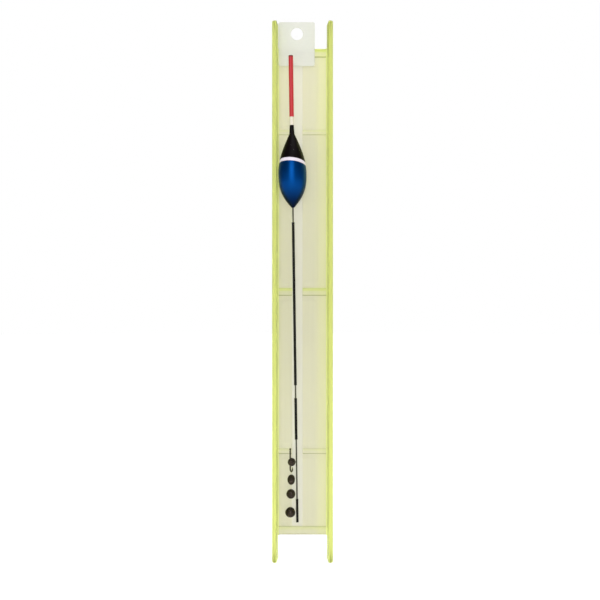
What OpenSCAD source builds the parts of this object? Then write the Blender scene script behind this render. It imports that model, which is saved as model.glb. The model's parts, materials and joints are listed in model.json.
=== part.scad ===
// Float rig stored on a line winder: a pole float with a pear-shaped body, four split shots and a
// spade-end hook, lying in the front channel of an H-section winder that hangs from a punched tab.
//
// Frame: millimetres, +Z up, front of the winder towards -Y. The origin is the centre of the hang
// hole, in the middle of the tab's thickness. Heights above the web are measured towards -Y.

/* [Winder] */
// Length of the two rails
winder_length = 250; // [220:1:300]
// Width over the two rails
winder_width = 28; // [27:0.1:36]
// Depth of the rails from front edge to back edge
rail_depth = 15; // [13:0.5:20]
// Thickness of a rail where it meets the web
rail_root = 2.6; // [2:0.1:3.2]
// Thickness of a rail at its front and back edges
rail_edge = 1.9; // [1.2:0.1:2]
// How far the rails run past the web at each end
fork_length = 11.5; // [9:0.1:15]
// Corner radius of the rail ends, seen from the side
rail_end_radius = 1.5; // [1:0.5:5]
// Corner radius of the rail ends, seen from the front
rail_tip_radius = 1.2; // [0.5:0.1:1.6]
// Fillet radius where the ends of the web meet the rails
fork_fillet = 0.8; // [0.3:0.1:2]
// Depth of the front channel, from the rail edges to the web
front_channel = 8.2; // [6:0.1:10]
// Thickness of the web
web_thickness = 1.6; // [1.3:0.1:2.5]
// How far the end bars and rungs stand above the web
bar_height = 0.8; // [0.4:0.1:1]
// Width of the bar at each end of the web
end_bar_width = 3.7; // [2:0.1:6]
// Width of the upper and lower rungs
rung_width = 2.2; // [1:0.1:4]
// Width of the middle rung
middle_rung_width = 3.4; // [1:0.1:5]
// Distance from the middle rung to the upper and lower rungs
rung_spacing = 74.5; // [70:0.1:78]

/* [Web panels] */
// Depth of the moulded recess between two bars
panel_depth = 0.3; // [0.1:0.05:0.4]
// Margin between a recess and the left rail
panel_left_margin = 0.8; // [0.4:0.1:2]
// Margin between a recess and the right rail
panel_right_margin = 4.4; // [1:0.1:6]
// Margin between a recess and the bars
panel_end_margin = 2; // [1:0.1:5]
// Corner radius of a recess
panel_radius = 3; // [1:0.1:5]
// Width of the line groove that notches the bars
groove_width = 5; // [3:0.1:6]
// How far the middle of the line groove lies to the left of the stem's end
groove_offset = 0.05; // [0:0.05:1]
// Depth of the line groove below the recess
groove_depth = 0.2; // [0.1:0.05:0.4]

/* [Hang tab] */
// Width of the hang tab
tab_width = 16.9; // [12:0.1:18]
// Height of the hang tab
tab_height = 20.5; // [18:0.1:28]
// Thickness of the hang tab
tab_thickness = 0.5; // [0.3:0.05:0.8]
// Corner radius of the hang tab
tab_radius = 0.8; // [0.4:0.1:2]
// Gap between the hang tab and the left rail
tab_side_gap = 0.2; // [0.1:0.1:1]
// Diameter of the hang hole
hole_diameter = 5.7; // [4:0.1:7]
// Distance from the top edge of the tab to the centre of the hole
hole_drop = 5.5; // [4.5:0.05:7]
// Distance from the left edge of the tab to the centre of the hole
hole_inset = 8.6; // [6:0.1:9]
// How far the rail ends stand above the centre of the hole
rails_above_hole = 4.7; // [4:0.1:9]
// Thickness of the adhesive strip behind the tab
adhesive_thickness = 0.15; // [0.1:0.05:0.3]
// Margin between the adhesive strip and the edges of the tab and bar
adhesive_margin = 0.5; // [0.2:0.1:1]

/* [Float body] */
// Largest diameter of the body
body_diameter = 13.2; // [10:0.1:15.5]
// Height of the body from its point to the neck
body_height = 33.9; // [28:0.1:40]
// Height of the widest place above the point
widest_height = 15.5; // [13:0.1:18]
// Diameter of the neck
neck_diameter = 1.9; // [1.8:0.05:2.6]
// Diameter of the neck's foot, where the body begins
neck_foot_diameter = 2.4; // [1.9:0.05:3]
// Height of the neck
neck_height = 4.1; // [3:0.1:6]
// Diameter of the body's rounded point, where the stem leaves it
point_diameter = 1; // [0.9:0.05:1.6]
// Fullness of the body below its widest place
lower_fullness = 2.55; // [1.8:0.05:3.2]

/* [Line eye] */
// Outer diameter of the wire eye on the back of the body
eye_diameter = 1.9; // [1.4:0.1:2.2]
// Diameter of the eye's wire
eye_wire = 0.35; // [0.25:0.05:0.5]
// Height of the eye above the body's point
eye_height = 27; // [20:0.1:29]
// Length of the eye's shank inside the body
eye_shank = 2.4; // [1.5:0.1:3]

/* [Antenna and stem] */
// Outer diameter of the hollow antenna
antenna_diameter = 2.1; // [1.5:0.05:2.4]
// Bore of the antenna above the core rod
antenna_bore = 1.2; // [1.1:0.05:1.3]
// Length of the antenna
antenna_length = 28; // [22:0.1:34]
// Diameter of the collar under the antenna
collar_diameter = 2.1; // [1.6:0.05:2.4]
// Height of the collar
collar_height = 3.8; // [2:0.1:5]
// Diameter of the core rod that joins antenna, collar and body
core_diameter = 1; // [0.7:0.05:1.05]
// Length of the core rod inside the antenna
core_in_antenna = 12; // [6:0.5:18]
// Depth of the core rod's socket in the body
core_socket = 14; // [8:0.5:16]
// Diameter of the stem
stem_diameter = 0.7; // [0.5:0.05:0.8]
// Length of the stem below the body
stem_length = 145.4; // [140:0.1:147]
// Depth of the stem's socket in the body
stem_socket = 14; // [8:0.5:16]
// Radial gap of the glued rods in their sockets
glue_gap = 0.02; // [0.01:0.01:0.05]

/* [Stem sleeves] */
// Outer diameter of the upper and middle sleeves
sleeve_diameter = 1.3; // [0.95:0.05:1.4]
// Outer diameter of the tip sleeve
tip_sleeve_diameter = 1.2; // [0.95:0.05:1.4]
// Radial clearance of a sleeve on the stem
sleeve_clearance = 0.02; // [0.01:0.01:0.05]
// Length of the upper sleeve
upper_sleeve_length = 75.6; // [60:0.1:92]
// Distance from the body's point to the upper sleeve
upper_sleeve_drop = 6.65; // [4:0.05:10]
// Length of the middle sleeve
middle_sleeve_length = 19.3; // [12:0.1:25]
// Gap between the upper and middle sleeves
middle_sleeve_gap = 6.1; // [3:0.1:10]
// Length of the tip sleeve
tip_sleeve_length = 11; // [8:0.1:16]
// How far the tip sleeve stands past the end of the stem
tip_sleeve_overhang = 1.2; // [0.5:0.1:3]

/* [Float position] */
// Sideways gap between the body and the root of the left rail
body_side_gap = 0.15; // [0.1:0.05:3]
// Distance of the body's point below the upper rung
float_below_rung = 35.8; // [32:0.1:37]
// Sideways lean of the float, positive to the right at the top
float_lean = -0.8; // [-1.2:0.05:0]
// Gap left between pieces that lie against each other
rest_gap = 0.15; // [0.1:0.01:0.3]

/* [Shots and hook] */
// Distance from the stem's end to the lowest shot, towards the left rail
shot_offset = 3.3; // [3:0.05:5]
// Distance of the lowest shot below the lower rung
shot_below_rung = 28.2; // [27:0.1:30]
// Sideways lean of the row of shots, positive to the right at the top
line_lean = 1.6; // [0:0.1:3]
// Width of the slit in a shot
slit_width = 0.3; // [0.2:0.05:0.5]
// Distance of the hook's shank to the left of the lowest shot
hook_offset = 0.05; // [0:0.05:1]
// Height of the hook's spade above the middle of the lower rung
hook_above_rung = 1.6; // [1:0.1:3]
// Diameter of the hook wire
wire_diameter = 0.7; // [0.4:0.05:0.7]
// Length of the hook from spade to bend
hook_length = 11.1; // [8:0.1:11.2]
// Distance between the middles of the hook's shank and point
hook_gape = 2.4; // [2:0.1:3]
// Height of the hook's point above the bottom of its bend
point_height = 2.7; // [2:0.1:3]
// Turn of the hook's bend out of the plane of the web
hook_turn = 65; // [40:1:80]
// Width of the hook's flattened spade
spade_width = 0.95; // [0.6:0.05:1.2]
// Thickness of the hook's flattened spade
spade_thickness = 0.3; // [0.2:0.05:0.4]

/* [Hidden] */

$fn = 64;
overshoot = 1;
outline_steps = 22;
point_end = 0.06;

// Depths, towards +Y, of the planes that everything is seated on
web_front = tab_thickness / 2 + adhesive_thickness + bar_height;
web_back = web_front + web_thickness;
bar_front = web_front - bar_height;
panel_floor = web_front + panel_depth;
groove_floor = panel_floor + groove_depth;
rail_front = web_front - front_channel;
rail_back = rail_front + rail_depth;

// Heights of the winder, with the hang hole at zero
rail_top = rails_above_hole;
rail_bottom = rail_top - winder_length;
web_top = rail_top - fork_length;
web_bottom = rail_bottom + fork_length;
web_middle = (web_top + web_bottom) / 2;
upper_rung = web_middle + rung_spacing;
lower_rung = web_middle - rung_spacing;
bars = [[web_top - end_bar_width / 2, end_bar_width],
        [upper_rung, rung_width],
        [web_middle, middle_rung_width],
        [lower_rung, rung_width],
        [web_bottom + end_bar_width / 2, end_bar_width]];

// Sideways places: the hang hole is at zero, and the winder's middle is beside it
inner_width = winder_width - 2 * rail_root;
winder_middle = inner_width / 2 - tab_side_gap - hole_inset;

// Heights along the float's own axis, with the body's point at zero
neck_top = body_height + neck_height;
collar_top = neck_top + collar_height;
antenna_top = collar_top + antenna_length;
core_bottom = neck_top - core_socket;
core_top = collar_top + core_in_antenna;
upper_sleeve_top = -upper_sleeve_drop;
upper_sleeve_end = upper_sleeve_top - upper_sleeve_length;
middle_sleeve_top = upper_sleeve_end - middle_sleeve_gap;
tip_sleeve_end = -stem_length - tip_sleeve_overhang;
tip_sleeve_top = tip_sleeve_end + tip_sleeve_length;

// The line eye, measured from the float's axis towards its back
eye_ring = (eye_diameter - eye_wire) / 2;
eye_root = body_radius(eye_height) - eye_shank;
eye_middle = body_radius(eye_height) + eye_diameter / 2 + rest_gap;

// The float leans back until the body lies in a panel and the tip sleeve in the groove
body_lift = body_diameter / 2 + rest_gap;
tip_lift = tip_sleeve_diameter / 2 + rest_gap;
float_fall = (panel_floor - body_lift) - (groove_floor - tip_lift);
float_pitch = asin(-float_fall / (widest_height - tip_sleeve_end));
float_depth = panel_floor - body_lift + widest_height * sin(float_pitch);
float_height = upper_rung - float_below_rung;

// Sideways places from the winder's middle: the body beside the left rail, and what follows it
body_side = body_side_gap + body_diameter / 2 - inner_width / 2;
float_side = body_side - widest_height * sin(float_lean);
tip_side = float_side + tip_sleeve_end * sin(float_lean);
groove_side = tip_side - groove_offset;
shot_side = tip_side - shot_offset;
hook_side = shot_side - hook_offset;

// Each shot: distance up the line from the lowest shot, width, length and turn of its slit
shots = [[23.7, 3.8, 3.8, 200],
         [15.1, 3.6, 4.8, 90],
         [8.5, 4.25, 4.5, 150],
         [0, 4.8, 4.8, 230]];
shot_height = lower_rung - shot_below_rung;

// The hook lies across the lower rung, and the uppermost shot lies on the hook
hook_top = lower_rung + hook_above_rung;
hook_depth = bar_front - rest_gap - wire_diameter;
shot_on_hook = hook_depth - wire_diameter / 2 - rest_gap;

// Rounded rectangle between two corners, as squares and circles
module rounded_rectangle(low, high, radius) {
    size = high - low;
    translate([low.x + radius, low.y])
        square([size.x - 2 * radius, size.y]);
    translate([low.x, low.y + radius])
        square([size.x, size.y - 2 * radius]);
    for (x = [low.x + radius, high.x - radius], y = [low.y + radius, high.y - radius])
        translate([x, y])
            circle(radius);
}

// Stands a drawing in the X-Z plane and gives it a thickness from one depth to another
module upright(front, back) {
    translate([0, back, 0])
        rotate([90, 0, 0])
            linear_extrude(back - front)
                children();
}

// One rail's section, tapering towards its front and back edges
module rail_section() {
    outer = -winder_width / 2;
    polygon([[outer, rail_front],
             [outer + rail_edge, rail_front],
             [outer + rail_root, web_front],
             [outer + rail_root, web_back],
             [outer + rail_edge, rail_back],
             [outer, rail_back]]);
}

// Both rails, cut to their rounded ends
module rails() {
    half = winder_width / 2;
    intersection() {
        translate([0, 0, rail_bottom])
            linear_extrude(winder_length)
                for (side = [0, 1])
                    mirror([side, 0])
                        rail_section();
        translate([-half - overshoot, 0, 0])
            rotate([90, 0, 90])
                linear_extrude(winder_width + 2 * overshoot)
                    rounded_rectangle([rail_front, rail_bottom], [rail_back, rail_top],
                                      rail_end_radius);
        upright(rail_front - overshoot, rail_back + overshoot)
            rounded_rectangle([-half, rail_bottom], [half, rail_top], rail_tip_radius);
    }
}

// Recess in the web between two bars
module panel_recess(upper, lower) {
    left = panel_left_margin - inner_width / 2;
    right = inner_width / 2 - panel_right_margin;
    top = upper[0] - upper[1] / 2 - panel_end_margin;
    bottom = lower[0] + lower[1] / 2 + panel_end_margin;
    upright(web_front - overshoot, panel_floor)
        rounded_rectangle([left, bottom], [right, top], panel_radius);
}

// Fillets between one end of the web and the two rails
module fork_fillets() {
    for (side = [0, 1])
        mirror([side, 0])
            translate([-inner_width / 2, 0])
                difference() {
                    translate([-rail_root / 2, -fork_fillet])
                        square([rail_root / 2 + fork_fillet, 2 * fork_fillet]);
                    translate([fork_fillet, fork_fillet])
                        circle(fork_fillet);
                }
}

// Web with its recesses, bars and line groove
module web() {
    half = winder_width / 2 - rail_root / 2;
    difference() {
        union() {
            difference() {
                translate([-half, web_front, web_bottom])
                    cube([2 * half, web_thickness, web_top - web_bottom]);
                for (n = [0 : len(bars) - 2])
                    panel_recess(bars[n], bars[n + 1]);
            }
            for (bar = bars)
                translate([-half, bar_front, bar[0] - bar[1] / 2])
                    cube([2 * half, bar_height + web_thickness / 2, bar[1]]);
            upright(web_front, web_back) {
                translate([0, web_top])
                    fork_fillets();
                translate([0, web_bottom])
                    mirror([0, 1])
                        fork_fillets();
            }
        }
        translate([groove_side - groove_width / 2, bar_front - overshoot,
                   web_bottom + end_bar_width])
            cube([groove_width, groove_floor - bar_front + overshoot,
                  web_top - web_bottom - 2 * end_bar_width]);
    }
}

// Winder, moulded in one piece
module winder() {
    color([0.85, 0.9, 0.45])
        translate([winder_middle, 0, 0])
            union() {
                rails();
                web();
            }
}

// Punched tab that the winder hangs from
module hang_tab() {
    color([0.87, 0.87, 0.85])
        difference() {
            upright(-tab_thickness / 2, tab_thickness / 2)
                rounded_rectangle([-hole_inset, hole_drop - tab_height],
                                  [tab_width - hole_inset, hole_drop], tab_radius);
            rotate([90, 0, 0])
                cylinder(d = hole_diameter, h = tab_thickness + 2 * overshoot, center = true);
        }
}

// Adhesive strip between the tab and the upper end bar
module tab_adhesive() {
    color([0.9, 0.88, 0.75])
        translate([adhesive_margin - hole_inset, tab_thickness / 2,
                   web_top - end_bar_width + adhesive_margin])
            cube([tab_width - 2 * adhesive_margin, adhesive_thickness,
                  end_bar_width - 2 * adhesive_margin]);
}

// Places a piece drawn along the float's own axis
module on_float() {
    translate([winder_middle + float_side, float_depth, float_height])
        rotate([float_pitch, float_lean, 0])
            children();
}

// Radius of the body at a height: a rounded cone below the widest place and a cosine above it
function body_radius(height) =
    height < widest_height
        ? point_diameter / 2
            + (body_diameter - point_diameter) / 2
            * (1 - pow((widest_height - height) / widest_height, lower_fullness))
        : neck_foot_diameter / 2
            + (body_diameter - neck_foot_diameter) / 2
            * cos(90 * (height - widest_height) / (body_height - widest_height));

// Pear-shaped body with its neck and three sockets
module float_body() {
    lower = [for (n = [0 : outline_steps]) widest_height * n / outline_steps];
    upper = [for (n = [1 : outline_steps])
             widest_height + (body_height - widest_height) * n / outline_steps];
    outline = [for (height = concat(lower, upper)) [body_radius(height), height]];
    color([0.05, 0.3, 0.6])
        on_float()
            difference() {
                rotate_extrude()
                    polygon(concat([[0, 0]], outline,
                                   [[neck_diameter / 2, neck_top], [0, neck_top]]));
                translate([0, 0, core_bottom])
                    cylinder(d = core_diameter + 2 * glue_gap, h = core_socket + overshoot);
                translate([0, 0, -overshoot])
                    cylinder(d = stem_diameter + 2 * glue_gap, h = stem_socket + overshoot);
                translate([0, eye_root - glue_gap, eye_height])
                    rotate([-90, 0, 0])
                        cylinder(d = eye_wire + 2 * glue_gap, h = body_diameter);
            }
}

// Wire eye on the back of the body, for the line
module line_eye() {
    color([0.75, 0.72, 0.6])
        on_float()
            translate([0, 0, eye_height])
                union() {
                    translate([0, eye_root, 0])
                        rotate([-90, 0, 0])
                            cylinder(d = eye_wire, h = eye_middle - eye_ring - eye_root);
                    translate([0, eye_middle, 0])
                        rotate_extrude()
                            translate([eye_ring, 0])
                                circle(d = eye_wire);
                }
}

// Tube along the float's axis
module tube(bottom, top, outer, bore) {
    translate([0, 0, bottom])
        difference() {
            cylinder(d = outer, h = top - bottom);
            translate([0, 0, -overshoot])
                cylinder(d = bore, h = top - bottom + 2 * overshoot);
        }
}

// Hollow antenna, open at its top and socketed on the core rod
module antenna() {
    color([0.85, 0.2, 0.25])
        on_float()
            difference() {
                tube(collar_top, antenna_top, antenna_diameter, core_diameter + 2 * glue_gap);
                translate([0, 0, core_top])
                    cylinder(d = antenna_bore, h = antenna_top - core_top + overshoot);
            }
}

// White collar between the antenna and the neck
module antenna_collar() {
    color([0.92, 0.92, 0.86])
        on_float()
            tube(neck_top, collar_top, collar_diameter, core_diameter + 2 * glue_gap);
}

// Glass-fibre rod inside the neck, the collar and the antenna
module core_rod() {
    color([0.85, 0.88, 0.75])
        on_float()
            translate([0, 0, core_bottom])
                cylinder(d = core_diameter, h = core_top - core_bottom);
}

// Thin stem, glued into the body
module stem() {
    color([0.25, 0.25, 0.2])
        on_float()
            translate([0, 0, -stem_length])
                cylinder(d = stem_diameter, h = stem_length + stem_socket);
}

// Black sleeve that grips the line against the stem
module stem_sleeve(top, length, diameter) {
    color([0.06, 0.06, 0.05])
        on_float()
            tube(top - length, top, diameter, stem_diameter + 2 * sleeve_clearance);
}

module upper_sleeve() {
    stem_sleeve(upper_sleeve_top, upper_sleeve_length, sleeve_diameter);
}

module middle_sleeve() {
    stem_sleeve(middle_sleeve_top, middle_sleeve_length, sleeve_diameter);
}

module tip_sleeve() {
    stem_sleeve(tip_sleeve_top, tip_sleeve_length, tip_sleeve_diameter);
}

// Split shot, round across the line and a little longer along it
module split_shot(number) {
    up = shots[number - 1][0];
    width = shots[number - 1][1];
    length = shots[number - 1][2];
    turn = shots[number - 1][3];
    seat = number == 1 ? shot_on_hook : panel_floor - rest_gap;
    color([0.13, 0.12, 0.11])
        translate([winder_middle + shot_side, seat - width / 2, shot_height])
            rotate([0, line_lean, 0])
                translate([0, 0, up])
                    difference() {
                        rotate_extrude()
                            polygon([for (n = [0 : outline_steps])
                                     let (angle = 180 * n / outline_steps - 90)
                                     [width / 2 * cos(angle), length / 2 * sin(angle)]]);
                        rotate([0, 0, turn])
                            translate([0, -slit_width / 2, -length])
                                cube([width, slit_width, 2 * length]);
                    }
}

// Spade-end hook: flattened spade, shank, round bend and tapered point
module hook() {
    bend = hook_gape / 2;
    shank = hook_length - bend - wire_diameter / 2;
    taper = point_height - bend - wire_diameter / 2;
    color([0.2, 0.2, 0.12])
        translate([winder_middle + hook_side, hook_depth, hook_top])
            rotate([0, 0, -hook_turn])
                union() {
                    translate([0, 0, -shank])
                        cylinder(d = wire_diameter, h = shank - spade_width / 2);
                    translate([0, 0, -spade_width / 2])
                        rotate([0, 90, 0])
                            cylinder(d = spade_width, h = spade_thickness, center = true);
                    translate([bend, 0, -shank])
                        rotate([-90, 0, 0])
                            rotate_extrude(angle = 180)
                                translate([bend, 0])
                                    circle(d = wire_diameter);
                    translate([hook_gape, 0, -shank])
                        cylinder(d1 = wire_diameter, d2 = point_end, h = taper);
                }
}

winder();
hang_tab();
tab_adhesive();
float_body();
line_eye();
antenna();
antenna_collar();
core_rod();
stem();
upper_sleeve();
middle_sleeve();
tip_sleeve();
split_shot(1);  // shot_1
split_shot(2);  // shot_2
split_shot(3);  // shot_3
split_shot(4);  // shot_4
hook();
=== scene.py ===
"""Looks for a float rig stored on its line winder: winder, hang tab, float, shots and hook.

Every piece is a surface worked out as whole arrays. Lengths are metres, +Z is up, the front of the
winder is towards -Y, and the origin is the centre of the hang hole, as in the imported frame.
"""

import json
import math

import bmesh
import bpy
import numpy as np
from bpy.props import FloatProperty, FloatVectorProperty, PointerProperty
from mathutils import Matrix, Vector


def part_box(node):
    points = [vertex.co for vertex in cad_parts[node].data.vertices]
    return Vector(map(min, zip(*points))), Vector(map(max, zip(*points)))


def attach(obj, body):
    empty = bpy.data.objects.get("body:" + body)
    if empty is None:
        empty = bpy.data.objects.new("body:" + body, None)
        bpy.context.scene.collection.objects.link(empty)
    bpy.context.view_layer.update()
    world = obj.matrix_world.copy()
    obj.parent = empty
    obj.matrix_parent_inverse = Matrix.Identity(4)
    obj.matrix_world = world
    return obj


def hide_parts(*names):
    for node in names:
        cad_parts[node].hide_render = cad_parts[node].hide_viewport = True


bl_info = {
    "name": "Float rig on a winder",
    "version": (1, 0, 0),
    "blender": (4, 5, 0),
    "location": "3D Viewport > Sidebar > Float rig",
    "description": "Builds the visible pieces of a float rig around its packed frame",
    "category": "Object",
}

MM = 0.001
TAU = 2 * math.pi

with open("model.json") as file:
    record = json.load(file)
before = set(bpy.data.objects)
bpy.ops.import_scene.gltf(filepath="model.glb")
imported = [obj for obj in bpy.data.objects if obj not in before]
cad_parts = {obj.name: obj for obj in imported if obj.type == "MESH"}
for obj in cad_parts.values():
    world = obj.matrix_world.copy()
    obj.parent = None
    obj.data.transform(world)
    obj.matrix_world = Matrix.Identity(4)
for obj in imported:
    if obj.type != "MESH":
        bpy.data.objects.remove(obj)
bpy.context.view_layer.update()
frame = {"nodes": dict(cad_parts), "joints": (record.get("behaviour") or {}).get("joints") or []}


# ---------------------------------------------------------------- sizes and colours


def length(name, description, millimetres):
    """A length property whose default is given in millimetres."""
    return FloatProperty(name=name, description=description, default=millimetres * MM,
                         unit="LENGTH", precision=5)


def number(name, description, default):
    """A property without a unit."""
    return FloatProperty(name=name, description=description, default=default, precision=3)


def angle(name, description, degrees):
    """An angle property whose default is given in degrees."""
    return FloatProperty(name=name, description=description, default=math.radians(degrees),
                         subtype="ANGLE")


def colour(name, description, red, green, blue):
    """A colour property whose default is given as shares of the display's full range."""
    shares = np.array([red, green, blue])
    linear = np.where(shares > 0.04045, ((shares + 0.055) / 1.055) ** 2.4, shares / 12.92)
    return FloatVectorProperty(name=name, description=description, default=linear.tolist(),
                               subtype="COLOR", min=0, max=1)


class WinderSizes(bpy.types.PropertyGroup):
    """Sizes and colours of the moulded winder; its length, width and depth come from the frame."""

    rail_root: length("Rail root", "Thickness of a rail where it meets the web", 2.6)
    rail_edge: length("Rail edge", "Thickness of a rail at its front and back edges", 1.9)
    rail_end: length("Rail end radius", "Radius of the rail ends seen from the side", 1.5)
    rail_tip: length("Rail tip radius", "Radius of the rail ends seen from the front", 1.2)
    rail_round: length("Rail edge rounding", "Rounding along the edges of the rails", 0.35)
    fork: length("Fork length", "How far the rails run past the web", 11.5)
    fork_fillet: length("Fork fillet", "Fillet where an end of the web meets a rail", 0.8)
    web_fillet: length("Web fillet", "Fillet where the faces of the web meet a rail", 0.3)
    web_round: length("Web end rounding", "Rounding of the web's end edges", 0.3)
    channel: length("Front channel", "Depth from the rail edges to the web", 8.2)
    web: length("Web thickness", "Thickness of the web", 1.6)
    bar_height: length("Bar height", "How far the bars and rungs stand above the web", 0.8)
    end_bar: length("End bar", "Width of the bar at each end of the web", 3.7)
    rung: length("Rung", "Width of the upper and lower rungs", 2.2)
    middle_rung: length("Middle rung", "Width of the middle rung", 3.4)
    rung_spacing: length("Rung spacing", "Distance between neighbouring rungs", 74.5)
    panel_depth: length("Panel depth", "Depth of the recess between two bars", 0.3)
    panel_left: length("Left margin", "Margin between a recess and the left rail", 0.8)
    panel_right: length("Right margin", "Margin between a recess and the right rail", 4.4)
    panel_end: length("End margin", "Margin between a recess and the bars", 2)
    panel_radius: length("Panel radius", "Corner radius of a recess", 3)
    groove: length("Groove width", "Width of the line groove that notches the rungs", 5)
    groove_offset: length("Groove offset", "Groove's middle to the left of the stem's end", 0.05)
    groove_depth: length("Groove depth", "Depth of the groove below the recess", 0.2)
    step: length("Step width", "Width of the drafted walls of bars and groove", 0.36)
    recess_step: length("Recess step", "Width of the soft wall round a recess", 1.3)
    rail_colour: colour("Rails", "Colour of the thick rails", 0.872, 0.902, 0.523)
    # Painted light: a paler colour laid on the rails' inner faces beside the web
    corner_painted_light: colour("Rail corners", "Colour of the rails beside the web", 0.97, 1.0, 0.72)
    web_colour: colour("Web", "Colour of the thin web", 0.877, 0.868, 0.762)
    margin_colour: colour("Right margin", "Colour of the thicker right margin", 0.9, 0.897, 0.735)
    groove_colour: colour("Groove", "Colour of the thinnest plastic", 0.908, 0.9, 0.848)
    bar_colour: colour("Bars", "Colour along the middle of the bars", 0.845, 0.88, 0.5)
    # Painted shade: a darker colour laid on the steep walls beside the bars and near the rails' ends
    painted_shade_colour: colour("Steps", "Colour of the steep walls beside the bars", 0.6, 0.62, 0.34)


class TabSizes(bpy.types.PropertyGroup):
    """Sizes and colours of the hang tab; its width, height and thickness come from the frame."""

    hole: length("Hole", "Diameter of the hang hole", 5.7)
    corner: length("Corner radius", "Corner radius of the tab", 0.8)
    edge: length("Edge rounding", "Rounding of the tab's cut edges", 0.14)
    film: colour("Film", "Colour of the frosted film", 0.888, 0.892, 0.858)
    glue: colour("Adhesive", "Colour of the adhesive", 0.9, 0.86, 0.68)


class BodySizes(bpy.types.PropertyGroup):
    """Sizes and colours of the float's body; heights are above its point, along its axis."""

    diameter: length("Diameter", "Largest diameter of the body", 13.2)
    height: length("Height", "Height of the body up to the neck's foot", 33.9)
    widest: length("Widest height", "Height of the widest place", 15.5)
    point: length("Point", "Diameter of the body's point", 1)
    foot: length("Neck foot", "Diameter where the neck begins", 2.4)
    neck: length("Neck", "Diameter at the top of the neck", 1.9)
    neck_height: length("Neck height", "Height of the neck", 4.1)
    fullness: number("Fullness", "Fullness of the body below its widest place", 2.55)
    stem_socket: length("Stem socket", "Depth of the stem's socket", 14)
    core_socket: length("Core socket", "Depth of the core rod's socket", 14)
    ring_height: length("Ring height", "Height of the white ring on the axis", 20.25)
    ring_width: length("Ring width", "Width of the white ring", 1.6)
    ring_front: number("Ring front slope", "Rise of the ring towards the front", 0.3)
    ring_side: number("Ring side slope", "Rise of the ring towards the right", -0.12)
    paint: length("Paint step", "Height of the step at the edge of a paint coat", 0.025)
    blue: colour("Blue lacquer", "Colour of the metallic lacquer", 0.0, 0.26, 0.53)
    # Painted shade: the colour the blue darkens to towards the point, where the underside falls in
    # shade
    painted_shade_navy: colour("Navy lacquer", "Colour that the lacquer fades to at the point", 0.005, 0.02, 0.1)
    black: colour("Black lacquer", "Colour of the upper body and the neck", 0.035, 0.012, 0.025)
    white: colour("White ring", "Colour of the painted ring", 0.875, 0.84, 0.885)


class RodSizes(bpy.types.PropertyGroup):
    """Sizes and colours of what stands and hangs on the float's axis."""

    antenna: length("Antenna", "Outer diameter of the antenna", 2.1)
    antenna_length: length("Antenna length", "Length of the antenna", 28)
    bore: length("Antenna bore", "Bore of the antenna above the core rod", 1.2)
    collar: length("Collar", "Diameter of the collar", 2.1)
    collar_height: length("Collar height", "Height of the collar", 3.8)
    core: length("Core rod", "Diameter of the core rod", 1)
    core_rise: length("Core rise", "Length of the core rod inside the antenna", 12)
    stem: length("Stem", "Diameter of the stem", 0.7)
    stem_length: length("Stem length", "Length of the stem below the body", 145.4)
    sleeve: length("Sleeve", "Outer diameter of the upper and middle sleeves", 1.3)
    tip_sleeve: length("Tip sleeve", "Outer diameter of the tip sleeve", 1.2)
    clearance: length("Clearance", "Radial gap round the stem and the core rod", 0.02)
    edge: length("Edge rounding", "Rounding of the tubes' cut ends", 0.12)
    eye: length("Eye", "Outer diameter of the line eye", 1.9)
    eye_wire: length("Eye wire", "Diameter of the eye's wire", 0.35)
    eye_height: length("Eye height", "Height of the eye above the body's point", 27)
    eye_shank: length("Eye shank", "Length of the eye's shank inside the body", 2.4)
    eye_gap: length("Eye gap", "Gap between the body and the ring of the eye", 0.15)
    red: colour("Antenna red", "Colour of the antenna", 0.715, 0.12, 0.165)
    ivory: colour("Collar white", "Colour of the collar", 0.86, 0.83, 0.76)
    fibre: colour("Fibre", "Colour of the bare glass fibre", 0.2, 0.185, 0.13)
    rubber: colour("Sleeves", "Colour of the sleeves", 0.035, 0.03, 0.02)


class ShotSizes(bpy.types.PropertyGroup):
    """Sizes and colours of the split shots and the hook."""

    slit: length("Slit", "Width of the slit in a shot", 0.34)
    slit_depth: number("Slit depth", "Depth of the slit as a share of the radius", 0.62)
    dent: length("Dents", "Depth of the largest dents in a shot", 0.1)
    wire: length("Hook wire", "Diameter of the hook's wire", 0.7)
    spade: length("Spade width", "Width of the hook's flattened spade", 0.95)
    spade_thickness: length("Spade thickness", "Thickness of the spade", 0.3)
    gape: length("Gape", "Distance between the middles of shank and point", 2.4)
    point: length("Point height", "Height of the point above the bottom of the bend", 2.7)
    barb: length("Barb", "How far the barb stands out", 0.13)
    turn: angle("Turn", "Turn of the bend out of the plane of the web", 65)
    lead: colour("Lead", "Colour of the shots", 0.27, 0.235, 0.21)
    bronze: colour("Bronze", "Colour of the hook", 0.24, 0.21, 0.12)


class StageSizes(bpy.types.PropertyGroup):
    """Camera, lights and floor."""

    distance: length("Camera distance", "Distance from the rails' front edges", 437)
    side: length("Camera side", "Sideways place of the camera", 1.43)
    height: length("Camera height", "Height of the camera", -124.15)
    lens: number("Lens", "Focal length in millimetres for a 36 mm sensor", 57.07)
    drop: length("Floor drop", "Height of the rails' ends above the floor", 0)
    floor_radius: length("Floor radius", "Radius of the floor", 3000)
    floor: colour("Floor", "Colour of the floor", 0.97, 0.97, 0.965)
    grey: number("Room brightness", "Brightness of the room seen by matt surfaces", 0.5)
    shine: number("Room reflection", "Brightness of the room seen in reflections", 0.07)
    through: number("Room glow", "Brightness of the room seen through clear plastic", 0.86)
    glow: number("Floor glow", "Light that the floor gives off by itself", 0.62)


# ---------------------------------------------------------------- shader maths


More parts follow.
